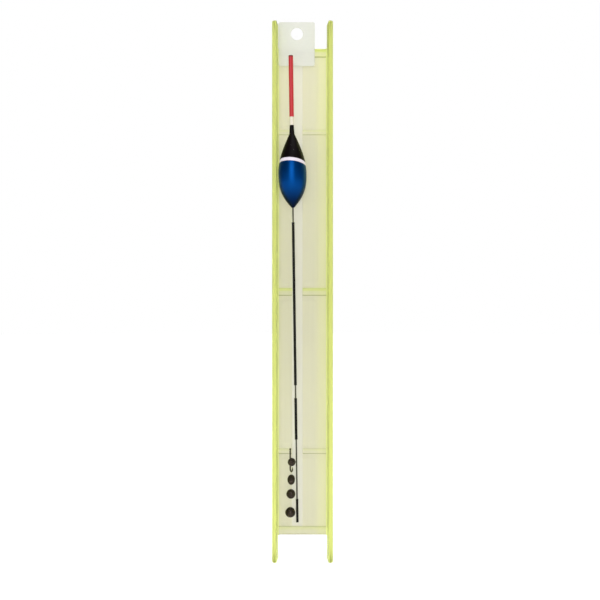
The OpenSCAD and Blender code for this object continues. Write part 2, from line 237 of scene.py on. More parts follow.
class Wire:
    """A shader socket that Python's arithmetic works on: each operator adds one Math node."""

    def __init__(self, finish, socket):
        self.finish = finish
        self.socket = socket

    def math(self, operation, first, second=0.0):
        """One Math node."""
        return self.finish.node("ShaderNodeMath", {"operation": operation}, {0: first, 1: second})

    def __add__(self, other):
        return self.math("ADD", self, other)

    def __radd__(self, other):
        return self.math("ADD", other, self)

    def __sub__(self, other):
        return self.math("SUBTRACT", self, other)

    def __rsub__(self, other):
        return self.math("SUBTRACT", other, self)

    def __mul__(self, other):
        return self.math("MULTIPLY", self, other)

    def __rmul__(self, other):
        return self.math("MULTIPLY", other, self)

    def __abs__(self):
        return self.math("ABSOLUTE", self)


class Finish:
    """A material made of one Principled shader and the nodes that feed it."""

    def __init__(self, name):
        self.material = bpy.data.materials.new(name)
        self.material.use_nodes = True
        self.tree = self.material.node_tree
        self.principled = self.tree.nodes["Principled BSDF"]
        self.place = self.node("ShaderNodeTexCoord", output="Object")

    def feed(self, socket, value):
        """Links a wire to a socket, or sets a number, colour or vector on it."""
        if isinstance(value, Wire):
            self.tree.links.new(value.socket, socket)
        elif socket.type == "RGBA":
            socket.default_value = (*value[:3], 1.0)
        else:
            socket.default_value = value

    def node(self, kind, settings=None, inputs=None, output=0):
        """Any node: its settings come first, then the values or links of its sockets."""
        made = self.tree.nodes.new(kind)
        for name, value in (settings or {}).items():
            setattr(made, name, value)
        for name, value in (inputs or {}).items():
            self.feed(made.inputs[name], value)
        return Wire(self, made.outputs[output])

    def value(self, name):
        """A value stored at each point of the piece."""
        return self.node("ShaderNodeAttribute", {"attribute_name": name}, output="Fac")

    def step(self, value, low, high):
        """0 below low, 1 above high and a smooth rise between them."""
        return self.node("ShaderNodeMapRange", {"interpolation_type": "SMOOTHSTEP"},
                         {"Value": value, "From Min": low, "From Max": high})

    def mix(self, share, first, second):
        """First colour where share is 0, second where it is 1."""
        return self.node("ShaderNodeMix", {"data_type": "RGBA"}, {0: share, 6: first, 7: second}, 2)

    def shade(self, base, brightness):
        """A colour times a brightness."""
        factor = self.node("ShaderNodeCombineColor", {}, {0: brightness, 1: brightness,
                                                          2: brightness})
        return self.node("ShaderNodeMix", {"data_type": "RGBA", "blend_type": "MULTIPLY"},
                         {0: 1.0, 6: base, 7: factor}, 2)

    def noise(self, grain, detail=3.0, stretch=(1, 1, 1)):
        """Cloudy noise with features of the given size in metres, stretched along the axes."""
        scale = [1 / (grain * share) for share in stretch]
        place = self.node("ShaderNodeMapping", {}, {"Vector": self.place, "Scale": scale})
        return self.node("ShaderNodeTexNoise", {}, {"Vector": place, "Scale": 1.0,
                                                    "Detail": detail})

    def cells(self, grain):
        """Distance to the nearest of many scattered points."""
        place = self.node("ShaderNodeMapping", {}, {"Vector": self.place,
                                                    "Scale": [1 / grain] * 3})
        return self.node("ShaderNodeTexVoronoi", {}, {"Vector": place, "Scale": 1.0})

    def relief(self, height, depth):
        """Surface relief, where height runs from 0 to 1 and depth is its size in metres."""
        return self.node("ShaderNodeBump", {}, {"Height": height, "Strength": 1.0,
                                                "Distance": depth})

    def shader(self, **inputs):
        """Feeds the shader; an underscore in a name stands for a space."""
        for name, value in inputs.items():
            self.feed(self.principled.inputs[name.replace("_", " ")], value)
        return self.material


# ---------------------------------------------------------------- surfaces


def grid_quads(rows, columns, close_rows=False, close_columns=False):
    """Quads between neighbouring points of a grid that is stored row by row."""
    index = np.arange(rows * columns).reshape(rows, columns)
    if close_rows:
        index = np.vstack([index, index[:1]])
    if close_columns:
        index = np.hstack([index, index[:, :1]])
    corners = [index[:-1, :-1], index[:-1, 1:], index[1:, 1:], index[1:, :-1]]
    return np.stack(corners, axis=-1)


def patch(points, close_rows=False, close_columns=False, keep=None, **values):
    """A grid of points with its quads and its named values; keep says which quads stay."""
    quads = grid_quads(*points.shape[:2], close_rows, close_columns)
    if keep is not None:
        quads = quads[keep]
    flat = {name: np.broadcast_to(value, points.shape[:2]).ravel()
            for name, value in values.items()}
    return points.reshape(-1, 3), quads.reshape(-1, 4), flat


def piece(name, patches, body, nodes, material, crease=35.0):
    """One object from patches: doubles are merged, which closes seams and poles, normals are
    turned outwards, and edges sharper than crease degrees stay sharp."""
    firsts = np.cumsum([0] + [len(points) for points, _, _ in patches[:-1]])
    mesh = bpy.data.meshes.new(name)
    mesh.from_pydata(np.concatenate([points for points, _, _ in patches]), [],
                     np.concatenate([quads + first for (_, quads, _), first
                                     in zip(patches, firsts)]))
    for key in patches[0][2]:
        layer = mesh.attributes.new(key, "FLOAT", "POINT")
        layer.data.foreach_set("value", np.concatenate([values[key] for _, _, values in patches])
                               .astype(np.float32))
    build = bmesh.new()
    build.from_mesh(mesh)
    bmesh.ops.remove_doubles(build, verts=build.verts, dist=0.0003 * MM)
    bmesh.ops.recalc_face_normals(build, faces=build.faces)
    build.to_mesh(mesh)
    build.free()
    mesh.shade_smooth()
    mesh.set_sharp_from_angle(angle=math.radians(crease))
    made = bpy.data.objects.new(name, mesh)
    bpy.context.scene.collection.objects.link(made)
    mesh.materials.append(material)
    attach(made, body)
    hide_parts(*nodes)
    return made


def finish_node(node, material):
    """Gives a CAD node its finish."""
    slots = frame["nodes"][node].data.materials
    slots.clear()
    slots.append(material)


def smooth(value):
    """0 below 0, 1 above 1 and 3v^2 - 2v^3 between them."""
    value = np.clip(value, 0, 1)
    return value * value * (3 - 2 * value)


def quarter_drop(distance, radius):
    """How far a rounded edge has fallen back at a distance from its end: r - sqrt(r^2 - (r - d)^2)."""
    left = radius - np.clip(distance, 0, radius)
    return radius - np.sqrt(np.maximum(radius**2 - left**2, 0))


def spaced(low, high, places, fine, coarse, growth):
    """Numbers from low to high whose spacing is fine at the given places and grows, by growth for
    each unit of distance from them, up to coarse."""
    samples = 20001
    run = np.linspace(low, high, samples)
    near = np.min(np.abs(run[:, None] - np.array(places)), axis=1)
    density = 1 / np.minimum(fine + growth * near, coarse)
    count = np.concatenate([[0], np.cumsum((density[1:] + density[:-1]) / 2 * np.diff(run))])
    return np.interp(np.linspace(0, count[-1], int(np.ceil(count[-1])) + 1), count, run)


def joined(*runs):
    """Runs of points one after another as one array."""
    return np.concatenate([np.atleast_2d(run) for run in runs])


def line(start, end, steps):
    """Points from start to end, without the last one."""
    return np.array(start) + (np.array(end) - np.array(start)) * np.arange(steps)[:, None] / steps


def arc(middle, radius, first, last, steps):
    """Points on a circle from one angle to another in degrees, without the last one."""
    turn = np.radians(first + (last - first) * np.arange(steps) / steps)
    return np.array(middle) + radius * np.stack([np.cos(turn), np.sin(turn)], axis=1)


def turned(profile, steps, place):
    """Surface of revolution: profile points (radius, height) carried round the float's axis."""
    turn = TAU * np.arange(steps) / steps
    radius, height = profile[:, 0:1], profile[:, 1:2]
    local = np.stack([radius * np.cos(turn), radius * np.sin(turn),
                      height + 0 * turn], axis=-1)
    return place(local)


def planar_sweep(path, wide, thick, sides, place, bulge=None):
    """Section carried along a path in the X-Z plane: an ellipse with half axes thick, in the
    plane, and wide, across it, standing square to the path. Both shrink to nothing at the ends."""
    along = np.gradient(path, axis=0)
    along /= np.linalg.norm(along, axis=1)[:, None]
    turn = TAU * np.arange(sides) / sides
    reach = thick[:, None] * np.cos(turn)
    if bulge is not None:
        reach = reach + bulge(turn)
    local = np.stack([path[:, 0:1] + along[:, 1:2] * reach,
                      wide[:, None] * np.sin(turn),
                      path[:, 1:2] - along[:, 0:1] * reach], axis=-1)
    return place(local)


class FloatAxis:
    """The float's own axis, which runs through the middles of the stem's and antenna's boxes.
    Heights along it are measured from the body's point."""

    def __init__(self, body, rods):
        self.neck_top = body.height + body.neck_height
        self.collar_top = self.neck_top + rods.collar_height
        self.antenna_top = self.collar_top + rods.antenna_length
        self.core_top = self.collar_top + rods.core_rise
        self.core_bottom = self.neck_top - body.core_socket
        stem_middle = (body.stem_socket - rods.stem_length) / 2
        antenna_middle = (self.collar_top + self.antenna_top) / 2
        low = np.array(sum(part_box("stem"), Vector())) / 2
        high = np.array(sum(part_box("antenna"), Vector())) / 2
        self.up = (high - low) / np.linalg.norm(high - low)
        self.right = np.cross([0, 1, 0], self.up)
        self.right /= np.linalg.norm(self.right)
        self.back = np.cross(self.up, self.right)
        share = -stem_middle / (antenna_middle - stem_middle)
        self.origin = low + (high - low) * share

    def place(self, local):
        """Points given as right, back and up along the float's axis, in the row frame."""
        return (self.origin + local[..., 0:1] * self.right + local[..., 1:2] * self.back
                + local[..., 2:3] * self.up)

    def height(self, node):
        """Lowest and highest height of a node that stands on the axis."""
        low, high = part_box(node)
        middle = (np.array(low + high) / 2 - self.origin) @ self.up
        half = (high.z - low.z) / 2 / self.up[2]
        return middle - half, middle + half


# ---------------------------------------------------------------- winder


class WinderShape:
    """Places of the winder's planes and bars, worked out from the frame and the sizes."""

    # How strongly each bar is tinted, from the lower end bar to the upper one
    tones = (0.35, 0.3, 0.8, 0.3, 0.95)

    def __init__(self, sizes):
        low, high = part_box("winder")
        self.sizes = sizes
        self.middle = (low.x + high.x) / 2
        self.half = (high.x - low.x) / 2
        self.inner = self.half - sizes.rail_root
        self.front, self.back = low.y, high.y
        self.bottom, self.top = low.z, high.z
        self.web_front = self.front + sizes.channel
        self.web_back = self.web_front + sizes.web
        self.bar_front = self.web_front - sizes.bar_height
        self.web_bottom = self.bottom + sizes.fork
        self.web_top = self.top - sizes.fork
        centre = (self.web_bottom + self.web_top) / 2
        self.bars = [(self.web_bottom + sizes.end_bar / 2, sizes.end_bar),
                     (centre - sizes.rung_spacing, sizes.rung),
                     (centre, sizes.middle_rung),
                     (centre + sizes.rung_spacing, sizes.rung),
                     (self.web_top - sizes.end_bar / 2, sizes.end_bar)]
        self.panels = [(low_bar[0] + low_bar[1] / 2 + sizes.panel_end,
                        high_bar[0] - high_bar[1] / 2 - sizes.panel_end)
                       for low_bar, high_bar in zip(self.bars, self.bars[1:])]
        self.panel_left = sizes.panel_left - self.inner
        self.panel_right = self.inner - sizes.panel_right
        groove_middle = self.tip_side() - sizes.groove_offset
        self.groove = (groove_middle - sizes.groove / 2, groove_middle + sizes.groove / 2)
        self.groove_ends = (self.web_bottom + sizes.end_bar, self.web_top - sizes.end_bar)

    def tip_side(self):
        """Sideways place of the stem's lower end, from the right side of the tip sleeve."""
        radius = bpy.context.scene.rig_rods.tip_sleeve / 2
        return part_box("tip_sleeve")[1].x - radius - self.middle

    def band(self, value, low, high):
        """1 between low and high, falling to 0 over the width of a step centred on each."""
        step = self.sizes.step
        return smooth((value - low) / step + 0.5) * smooth((high - value) / step + 0.5)

    def masks(self, x, z):
        """Shares of bar, recess and groove at a place on the web. A recess is a rounded rectangle:
        its share falls over a step as the distance to the rectangle's core passes the radius."""
        sizes = self.sizes
        bar = sum(self.band(z, middle - width / 2, middle + width / 2)
                  for middle, width in self.bars)
        recess = 0
        for low, high in self.panels:
            radius = sizes.panel_radius
            right = np.maximum(x - self.panel_right + radius, 0)
            left = np.maximum(self.panel_left + radius - x, 0)
            above = np.maximum(z - high + radius, 0)
            below = np.maximum(low + radius - z, 0)
            away = np.hypot(right + left, above + below)
            recess = recess + smooth((radius - away) / sizes.recess_step + 0.5)
        groove = self.band(x, *self.groove) * self.band(z, *self.groove_ends)
        return bar, recess, groove

    def bar_marks(self, z):
        """How strongly a bar is tinted, and the place across it from -1 below to 1 above."""
        tone, across = 0, 0
        for (middle, width), strength in zip(self.bars, self.tones):
            reach = width + self.sizes.step
            tone = tone + strength * self.band(z, middle - reach / 2, middle + reach / 2)
            across = across + np.clip((z - middle) * 2 / width, -1, 1) * (
                np.abs(z - middle) < 1.2 * width)
        return tone, across

    def web_face(self, x, z):
        """Depth of the web's front face: the recess, raised bars and the groove cut through them."""
        sizes = self.sizes
        bar, recess, groove = self.masks(x, z)
        face = self.web_front + recess * sizes.panel_depth - bar * sizes.bar_height
        floor = self.web_front + sizes.panel_depth + sizes.groove_depth
        return face + (floor - face) * groove

    def rail_thickness(self, y):
        """Thickness of a rail, which tapers from the web towards both edges."""
        sizes = self.sizes
        ahead = np.clip((self.web_front - y) / (self.web_front - self.front), 0, 1)
        behind = np.clip((y - self.web_back) / (self.back - self.web_back), 0, 1)
        return sizes.rail_root + (sizes.rail_edge - sizes.rail_root) * (ahead + behind)


def web_stations(shape):
    """Heights of the web's rows and sideways places of its columns, close together at steps."""
    sizes = shape.sizes
    edges = [middle + side * width / 2 for middle, width in shape.bars for side in (-1, 1)]
    ends = [end for panel in shape.panels for end in panel]
    low, high = shape.web_bottom + sizes.web_round, shape.web_top - sizes.web_round
    closest_row, farthest_row, row_growth = 0.11 * MM, 3.2 * MM, 0.62
    rows = spaced(low, high, edges + ends + list(shape.groove_ends),
                  closest_row, farthest_row, row_growth)
    closest_column, farthest_column, column_growth = 0.08 * MM, 0.72 * MM, 0.5
    columns = spaced(-shape.inner, shape.inner,
                     [-shape.inner, shape.panel_left, *shape.groove, shape.panel_right, shape.inner],
                     closest_column, farthest_column, column_growth)
    return rows, columns


def end_profile(shape, steps=4):
    """Rounded end of the web: shares of the way from front to back, and the fall below the end."""
    radius = shape.sizes.web_round
    thickness = shape.web_back - shape.bar_front
    turn = np.linspace(0, math.pi / 2, steps + 1)
    run = radius * (1 - np.cos(turn)) / thickness
    fall = radius * (1 - np.sin(turn))
    middle = np.linspace(run[-1], 1 - run[-1], 4)[1:-1]
    return (np.concatenate([run, middle, 1 - run[::-1]]),
            np.concatenate([fall, 0 * middle, fall[::-1]]))


def web_patch(shape, rows, columns):
    """Web: columns run from rail to rail and rows run in a closed loop up the front face, over the
    rounded top end, down the back face and under the bottom end. The front face is the height
    field of bars, recesses and groove. Fillets rise at the rails by r - sqrt(r^2 - (r - d)^2)."""
    sizes = shape.sizes
    share, fall = end_profile(shape)
    share, fall = share[1:-1], fall[1:-1]
    lift = sizes.web_round - fall
    across = np.concatenate([0 * rows, share, 0 * rows + 1, 1 - share])
    height = np.concatenate([rows, rows[-1] + lift, rows[::-1], rows[0] - lift])
    x = np.broadcast_to(columns, (len(height), len(columns)))
    z = np.broadcast_to(height[:, None], x.shape)
    away = shape.inner - np.abs(x)
    fillet = sizes.web_fillet - quarter_fill(away, sizes.web_fillet)
    near = np.clip(z, rows[0], rows[-1])
    face = shape.web_face(x, near) - fillet
    back = shape.web_back + fillet
    y = face + (back - face) * across[:, None]
    fork = sizes.fork_fillet - quarter_fill(away, sizes.fork_fillet)
    z = z + fork_shift(rows, near) * fork
    inward = shape.rail_thickness(y) - sizes.rail_root
    x = x - inward * x / shape.inner
    bar, _, groove = shape.masks(x, near)
    # The steep walls of the bars, which carry painted shade
    steep = np.abs(bar - 0.5) < 0.44
    front = 1 - across[:, None]
    tone, place = shape.bar_marks(near)
    points = np.stack([x + shape.middle, y, z], axis=-1)
    rail_colour_reach = 0.5 * MM
    return patch(points, close_rows=True, rail=smooth(1 - away / rail_colour_reach),
                 bar=bar * tone * (1 - groove), across=place, groove=groove,
                 steep=steep * front * (1 - groove))


def quarter_fill(distance, radius):
    """Height of a quarter-round fillet's hollow: sqrt(r^2 - (r - d)^2), and r beyond it."""
    left = radius - np.clip(distance, 0, radius)
    return np.sqrt(np.maximum(radius**2 - left**2, 0))


def fork_shift(rows, z):
    """1 at the top end of the web, -1 at its bottom end and 0 away from them."""
    reach = 2.2 * MM
    return smooth((z - rows[-1]) / reach + 1) - smooth((rows[0] - z) / reach + 1)


def rail_patches(shape, rows, side):
    """One rail: its section, a rounded and tapered strip, is a closed loop of columns carried up
    the rail. The end rows shrink along the rail's end radii and close on one point. Where the web
    joins, the loop's inner stretch follows the web's edge and its quads are left out."""
    sizes = shape.sizes
    share, fall = end_profile(shape)
    lift = sizes.web_round - fall
    joint_rows = rows + fork_shift(rows, rows) * sizes.fork_fillet
    ends = [shape.bottom, shape.bottom + sizes.rail_tip, shape.bottom + sizes.rail_end]
    closest, farthest, growth = 0.05 * MM, 1.6 * MM, 0.4
    below = spaced(shape.bottom, joint_rows[0], ends, closest, farthest, growth)[:-1]
    above = spaced(joint_rows[-1], shape.top,
                   [shape.top, shape.top - sizes.rail_tip, shape.top - sizes.rail_end],
                   closest, farthest, growth)[1:]
    z = np.concatenate([below, joint_rows, above])
    nominal = np.concatenate([0 * below + rows[0], rows, 0 * above + rows[-1]])
    edge_front = shape.web_face(side * shape.inner + 0 * nominal, nominal) - sizes.web_fillet
    edge_back = shape.web_back + sizes.web_fillet + 0 * nominal
    end = np.minimum(shape.top - z, z - shape.bottom)
    inset = quarter_drop(end, sizes.rail_round)
    front = shape.front + quarter_drop(end, sizes.rail_end) + inset
    back = shape.back - quarter_drop(end, sizes.rail_end) - inset
    outer = quarter_drop(end, sizes.rail_tip) + inset
    narrow = shape.rail_thickness(front) - inset - outer
    rounding = np.minimum(sizes.rail_round, 0.42 * narrow)

    def run(first, last, steps):
        """A straight stretch of the loop, without its last point."""
        return first[:, None] + (last - first)[:, None] * np.arange(steps) / steps

    turn = np.linspace(0, math.pi / 2, 5)[:-1]
    bow, rise = rounding[:, None] * (1 - np.cos(turn)), rounding[:, None] * (1 - np.sin(turn))
    width_front = shape.rail_thickness(front + rounding) - inset
    width_back = shape.rail_thickness(back - rounding) - inset
    junction = edge_front[:, None] + (edge_back - edge_front)[:, None] * share[:-1]
    stretches = [run(back - rounding, front + rounding, 10),
                 front[:, None] + rise,
                 run(front, front, 2),
                 front[:, None] + bow,
                 run(front + rounding, edge_front, 9),
                 junction,
                 run(edge_back, back - rounding, 7),
                 back[:, None] - rise,
                 run(back, back, 2),
                 back[:, None] - bow]
    y = np.hstack(stretches)
    outward = outer[:, None]
    x = np.hstack([outward + 0 * run(back, front, 10),
                   outward + bow,
                   run(outer + rounding, width_front - rounding, 2),
                   width_front[:, None] - rise,
                   shape.rail_thickness(run(front + rounding, edge_front, 9)) - inset[:, None],
                   shape.rail_thickness(junction) - inset[:, None],
                   shape.rail_thickness(run(edge_back, back - rounding, 7)) - inset[:, None],
                   width_back[:, None] - bow,
                   run(width_back - rounding, outer + rounding, 2),
                   outward + rise])
    first = sum(stretch.shape[1] for stretch in stretches[:5])
    last = first + junction.shape[1]
    height = np.repeat(z[:, None], y.shape[1], axis=1)
    fade = 1.5 * MM
    fade_up = np.clip(1 - (z - joint_rows[-1]) / fade, 0, 1) * (z >= joint_rows[-1])
    fade_down = np.clip(1 - (joint_rows[0] - z) / fade, 0, 1) * (z <= joint_rows[0])
    height[:, first:last] += (fade_up - fade_down)[:, None] * lift[:-1]
    points = np.stack([shape.middle + side * (shape.half - x), y, height], axis=-1)
    caps = [points[at] + (points[at].mean(axis=0) - points[at]) * share_in
            for at, share_in in ((0, 1), (0, 0.5), (-1, 0.5), (-1, 1))]
    points = np.concatenate([caps[:2], points, caps[2:]])
    keep = np.ones((len(points) - 1, y.shape[1]), bool)
    lowest = len(below) + 2
    keep[lowest:lowest + len(rows) - 1, first:last] = False
    return patch(points, close_columns=True, keep=keep, rail=1, bar=0, across=0,
                 groove=0, steep=0)


def winder_plastic(shape, sizes):
    """Lime-tinted moulding: pale where it is thin and saturated where it is thick, with painted
    shade on the walls beside the bars, painted light on the rails beside the web, flow lines
    along the web, painted light that pales the web upwards, fine scuffs and painted shade at the rail
    ends."""
    look = Finish("winder plastic")
    x, y, z = (look.node("ShaderNodeSeparateXYZ", {}, {0: look.place}, n) for n in range(3))
    aside = x - shape.middle
    flow = look.noise(2.2 * MM, 2.0, (0.6, 0.6, 22))
    cloud = look.noise(9 * MM, 3.0, (0.8, 0.8, 2.5))
    margin = look.step(aside, shape.panel_right - 2.4 * MM, shape.panel_right + 2.6 * MM)
    web = look.mix(margin, sizes.web_colour, sizes.margin_colour)
    web = look.mix(look.value("groove") * 0.85, web, sizes.groove_colour)
    across = look.value("across")
    upper = look.step(across, 0.0, 0.5)
    web = look.mix(look.value("bar") * (0.2 + upper * 0.8), web, sizes.bar_colour)
    # Painted shade on the steep walls beside the bars, deepest on the walls below each bar
    under = 1 - look.step(across, -0.9, -0.5)
    web = look.mix(look.value("steep") * (0.45 + under * 0.5), web, sizes.painted_shade_colour)
    rail = look.value("rail")
    base = look.mix(rail, web, sizes.rail_colour)
    # Painted light on the rails' inner faces beside the web, where shade would fall
    inside = 1 - look.step(abs(aside), shape.half - 2.2 * MM, shape.half - 1.6 * MM)
    corner = look.step(y, shape.web_front - 5 * MM, shape.web_front) * inside * rail
    base = look.mix(corner * 0.8, base, sizes.corner_painted_light)
    middle = (shape.top + shape.bottom) / 2
    reach = (shape.top - shape.bottom) / 2
    # Painted shade: a darker band along the rails' inner edges towards both ends
    tip = look.step(abs(z - middle), reach - 9 * MM, reach)
    edge = 1 - look.step(abs(abs(aside) - shape.half + 1.1 * MM), 0.15 * MM, 0.6 * MM)
    base = look.mix(tip * edge * rail * 0.55, base, sizes.painted_shade_colour)
    # Painted light: the web is painted paler towards the top and darker towards the bottom
    painted_light_upwards = look.step(z, shape.web_bottom, shape.web_top) * 0.2
    painted_light_upwards = painted_light_upwards + look.step(z, middle + reach * 0.2, shape.web_top) * 0.06
    base = look.shade(base, 0.84 + painted_light_upwards * (1 - rail) + rail * 0.09 + flow * 0.08 + cloud * 0.06)
    scuffs = look.noise(0.35 * MM, 6.0, (1, 1, 3))
    return look.shader(Base_Color=base, Roughness=0.3 + scuffs * 0.2, IOR=1.3,
                       Specular_IOR_Level=0.2, Transmission_Weight=0.72, Subsurface_Weight=0.12,
                       Subsurface_Radius=(2.0, 2.2, 0.8), Subsurface_Scale=0.0015,
                       Normal=look.relief(flow * 0.7 + scuffs * 0.3, 0.03 * MM))


class RIG_OT_winder(bpy.types.Operator):
    """Winder, moulded in one piece: two rails joined by the web"""

    bl_idname = "rig.winder"
    bl_label = "Winder"

    def execute(self, context):
        sizes = context.scene.rig_winder
        shape = WinderShape(sizes)
        rows, columns = web_stations(shape)
        patches = [web_patch(shape, rows, columns)]
        patches += [rail_patches(shape, rows, side) for side in (-1, 1)]
        made = piece("winder", patches, "winder", ["winder"],
                     winder_plastic(shape, sizes), 50)
        shading = made.modifiers.new("even shading", "WEIGHTED_NORMAL")
        shading.keep_sharp = True
        return {"FINISHED"}


# ---------------------------------------------------------------- hang tab


def tab_film(sizes):
    """Frosted film with a fine rolled grain and faint handling marks."""
    look = Finish("tab film")
    grain = look.noise(0.25 * MM, 4.0)
    marks = look.noise(3.5 * MM, 5.0, (1, 1, 0.3))
    base = look.shade(sizes.film, 0.95 + marks * 0.07 + grain * 0.02)
    return look.shader(Base_Color=base, Roughness=0.42 + marks * 0.2, IOR=1.49,
                       Transmission_Weight=0.18, Normal=look.relief(grain, 0.015 * MM))


def adhesive(sizes):
    """Adhesive strip with a clouded, slightly rippled surface."""
    look = Finish("adhesive")
    cloud = look.noise(1.2 * MM, 4.0)
    return look.shader(Base_Color=look.shade(sizes.glue, 0.88 + cloud * 0.2),
                       Roughness=0.35 + cloud * 0.2, Normal=look.relief(cloud, 0.02 * MM))


class RIG_OT_tab(bpy.types.Operator):
    """Hang tab with its punched hole, and the adhesive strip behind it"""

    # The faces run along rays from the middle of the hole: a ring round the hole is carried out
    # to the tab's outline, and both edges are rounded by quarter circles.

    bl_idname = "rig.tab"
    bl_label = "Hang tab"

    def execute(self, context):
        sizes = context.scene.rig_tab
        low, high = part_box("hang_tab")
        half = (high.y - low.y) / 2
        corner = sizes.corner
        right, left, top, bottom = high.x - corner, low.x + corner, high.z - corner, low.z + corner
        outline = joined(
            arc((right, top), corner, 0, 90, 8), line((right, high.z), (left, high.z), 26),
            arc((left, top), corner, 90, 180, 8), line((low.x, top), (low.x, bottom), 32),
            arc((left, bottom), corner, 180, 270, 8), line((left, low.z), (right, low.z), 26),
            arc((right, bottom), corner, 270, 360, 8), line((high.x, bottom), (high.x, top), 32))
        away = np.hypot(outline[:, 0], outline[:, 1])
        direction = outline / away[:, None]
        rim = joined(arc((sizes.edge, half - sizes.edge), sizes.edge, 180, 90, 4),
                     [[sizes.edge, half]])
        inside = joined(rim, line((0.5 * MM, half), (1.5 * MM, half), 2))
        outside = joined([[0.5 * MM, half]], rim[::-1])
        hole = sizes.hole / 2
        front_in = hole + inside[:, 0:1] + 0 * away
        front_out = away - outside[:, 0:1]
        shares = np.linspace(0, 1, 16)[1:-1, None]
        between = front_in[-1] + (front_out[0] - front_in[-1]) * shares
        reach = np.vstack([front_in, between, front_out])
        depth = np.concatenate([inside[:, 1], np.full(len(shares), half), outside[:, 1]])
        reach = np.vstack([reach, reach[::-1]])
        depth = np.concatenate([-depth, depth[::-1]])[:, None] + 0 * away
        depth = depth + (low.y + high.y) / 2
        points = np.stack([reach * direction[:, 0], depth, reach * direction[:, 1]], axis=-1)
        piece("hang_tab", [patch(points, close_rows=True, close_columns=True)], "winder",
              ["hang_tab"], tab_film(sizes))
        finish_node("tab_adhesive", adhesive(sizes))
        return {"FINISHED"}


# ---------------------------------------------------------------- float body


def body_radius(sizes, height):
    """Radius of the body: point + full * (1 - ((w - h) / w)^fullness) below the widest place w,
    and foot + full * cos(90 degrees * (h - w) / (top - w)) above it."""
    low = np.clip((sizes.widest - height) / sizes.widest, 0, 1) ** sizes.fullness
    high = np.cos(np.clip((height - sizes.widest) / (sizes.height - sizes.widest), 0, 1)
                  * math.pi / 2)
    below = sizes.point / 2 + (sizes.diameter - sizes.point) / 2 * (1 - low)
    above = sizes.foot / 2 + (sizes.diameter - sizes.foot) / 2 * high
    neck = np.clip((height - sizes.height) / sizes.neck_height, 0, 1)
    return np.where(height < sizes.widest, below, above) + neck * (sizes.neck - sizes.foot) / 2


def body_lacquer(sizes):
    """Metallic blue below, a white ring and black above, with wavering paint edges, fine flakes,
    painted shade that darkens the blue to navy at the point, a few dust specks and a slightly rippled
    surface."""
    look = Finish("body lacquer")
    paint = look.value("paint") + (look.noise(1.6 * MM, 2.0) - 0.5) * (0.22 * MM)
    half = sizes.ring_width / 2
    edge = 0.06 * MM
    above = look.step(paint, half - edge, half + edge)
    below = 1 - look.step(paint, -half - edge, edge - half)
    flakes = look.cells(0.09 * MM)
    mottle = look.noise(2.5 * MM, 4.0)
    # Painted shade: the blue darkens towards the point, on the underside
    fade = 1 - look.step(look.value("height"), 0.0, 15 * MM)
    blue = look.shade(sizes.blue, 0.86 + flakes * 0.3 + mottle * 0.06)
    blue = look.mix(fade * 0.96, blue, sizes.painted_shade_navy)
    specks = 1 - look.step(look.cells(1.9 * MM), 0.05, 0.075)
    black = look.mix(specks * 0.25, look.shade(sizes.black, 0.9 + mottle * 0.25), sizes.white)
    white = look.shade(sizes.white, 0.94 + mottle * 0.08)
    base = look.mix(above, look.mix(below, white, blue), black)
    rough = 0.26 + below * 0.06 + mottle * 0.08 + above * 0.1
    peel = look.noise(0.8 * MM, 2.0)
    return look.shader(Base_Color=base, Metallic=below * 0.9, Roughness=rough,
                       Specular_IOR_Level=0.12, Coat_Weight=0.02, Coat_Roughness=0.2,
                       Normal=look.relief(peel * 0.6 + above * 0.4, 0.012 * MM))


class RIG_OT_body(bpy.types.Operator):
    """Pear-shaped float body with its neck and sockets"""

    bl_idname = "rig.body"
    bl_label = "Float body"

    def execute(self, context):
        sizes = context.scene.rig_body
        rods = context.scene.rig_rods
        axis = FloatAxis(sizes, rods)
        stem_hole = rods.stem / 2 + rods.clearance
        core_hole = rods.core / 2 + rods.clearance
        ring_reach = 2 * MM
        busy = [0, sizes.ring_height - ring_reach, sizes.ring_height + ring_reach, sizes.height]
        lip, closest, farthest, growth = 0.1 * MM, 0.12 * MM, 0.42 * MM, 0.05
        heights = spaced(closest, axis.neck_top - lip, busy, closest, farthest, growth)
        outside = np.stack([body_radius(sizes, heights), heights], axis=1)
        profile = joined(
            line((0, sizes.stem_socket), (stem_hole, sizes.stem_socket), 1),
            line((stem_hole, sizes.stem_socket), (stem_hole, lip), 6),
            line((stem_hole, lip), (stem_hole + lip / 2, 0), 2),
            outside,
            arc((sizes.neck / 2 - lip, axis.neck_top - lip), lip, 0, 90, 3),
            line((sizes.neck / 2 - lip, axis.neck_top), (core_hole, axis.neck_top), 1),
            line((core_hole, axis.neck_top), (core_hole, axis.core_bottom), 6),
            [[core_hole, axis.core_bottom], [0, axis.core_bottom]])
        steps = 120
        turn = TAU * np.arange(steps) / steps
        radius, height = profile[:, 0:1], profile[:, 1:2]
        right, front = radius * np.cos(turn), -radius * np.sin(turn)
        paint = height - sizes.ring_height - sizes.ring_front * front - sizes.ring_side * right
        half = sizes.ring_width / 2
        # One coat of paint lies on the other, so the skin steps inwards below each edge of the
        # ring: coats counts from 0 below the ring through 1 on it to 2 above it.
        # The sockets and the neck, which are narrower than that, keep their size.
        step, narrowest = 0.2 * MM, 1.3 * MM
        skin = (radius > narrowest) * sizes.paint
        coats = smooth((paint + half) / step + 0.5) + smooth((paint - half) / step + 0.5)
        swell = 1 + skin * (coats - 2) / np.maximum(radius, MM)
        local = np.stack([right * swell, -front * swell, height + 0 * turn], axis=-1)
        skin_patch = patch(axis.place(local), close_columns=True, paint=paint,
                           height=height + 0 * turn)
        piece("float_body", [skin_patch], "float", ["float_body"],
              body_lacquer(sizes), 30)
        return {"FINISHED"}


# ---------------------------------------------------------------- eye, antenna, stem


